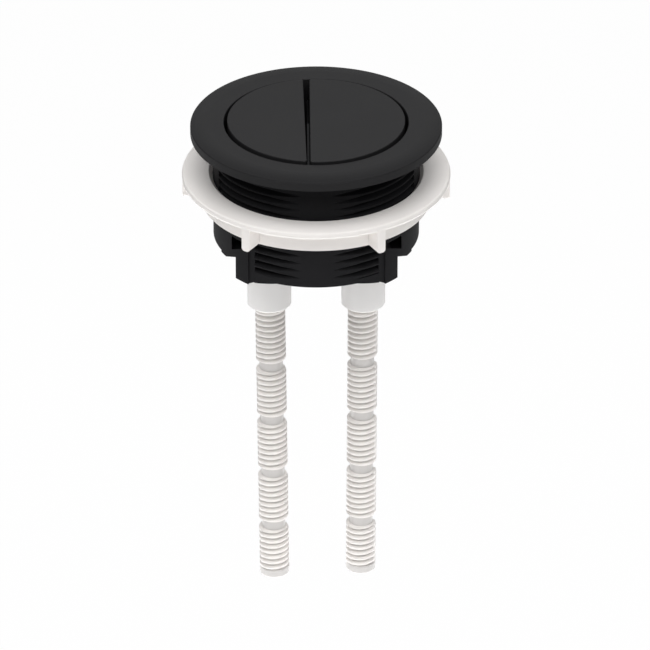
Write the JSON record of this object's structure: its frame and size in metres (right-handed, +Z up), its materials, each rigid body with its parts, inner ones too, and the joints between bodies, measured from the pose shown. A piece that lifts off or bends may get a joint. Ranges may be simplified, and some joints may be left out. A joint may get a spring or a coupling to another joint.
{
  "type": "push button cistern actuator",
  "caption": "Round dual flush push button for a cistern lid: trim bezel, small and large sprung buttons, threaded barrel, flanged lock nut and snap-off push rods.",
  "frame": {"origin": "centre of the lid seat, the underside of the bezel", "axes": "+Z up out of the lid along the barrel's axis, -Y towards the front, small button at -X"},
  "size_m": [0.0642, 0.0642, 0.1262],
  "materials": {
    "black_trim": "fine matt black coating",
    "black_moulding": "black moulded plastic, satin",
    "white_nut": "natural white moulded plastic",
    "white_collar": "warm white moulded plastic",
    "white_rod": "white moulded plastic, slightly translucent",
    "spring_wire": "drawn stainless spring wire"
  },
  "bodies": {
    "housing": {"bezel": "black_trim", "barrel": "black_moulding", "guide_plate": "black_moulding", "small_spring": "spring_wire", "large_spring": "spring_wire"},
    "lock_nut": {"lock_nut": "white_nut"},
    "small_button": {"small_cap": "black_trim", "small_plunger": "white_collar"},
    "large_button": {"large_cap": "black_trim", "large_plunger": "white_collar"},
    "small_rod": {"small_rod": "white_rod"},
    "large_rod": {"large_rod": "white_rod"}
  },
  "joints": [
    {"name": "small_button_press", "type": "slide", "parent": "housing", "child": "small_button", "axis": [0, 0, -1], "range_m": [0, 0.006], "stiffness_N_per_m": 300, "springref_m": -0.004, "deforming": ["small_spring"]},
    {"name": "large_button_press", "type": "slide", "parent": "housing", "child": "large_button", "axis": [0, 0, -1], "range_m": [0, 0.006], "stiffness_N_per_m": 300, "springref_m": -0.004, "deforming": ["large_spring"]},
    {"name": "lock_nut_travel", "type": "slide", "parent": "housing", "child": "lock_nut", "axis": [0, 0, 1], "range_m": [-0.0138, 0.008]},
    {"name": "small_rod_adjust", "type": "slide", "parent": "small_button", "child": "small_rod", "axis": [-0.0105, 0, 0.9999], "range_m": [-0.012, 0.004]},
    {"name": "large_rod_adjust", "type": "slide", "parent": "large_button", "child": "large_rod", "axis": [0.0045, 0, 1], "range_m": [-0.012, 0.004]}
  ]
}
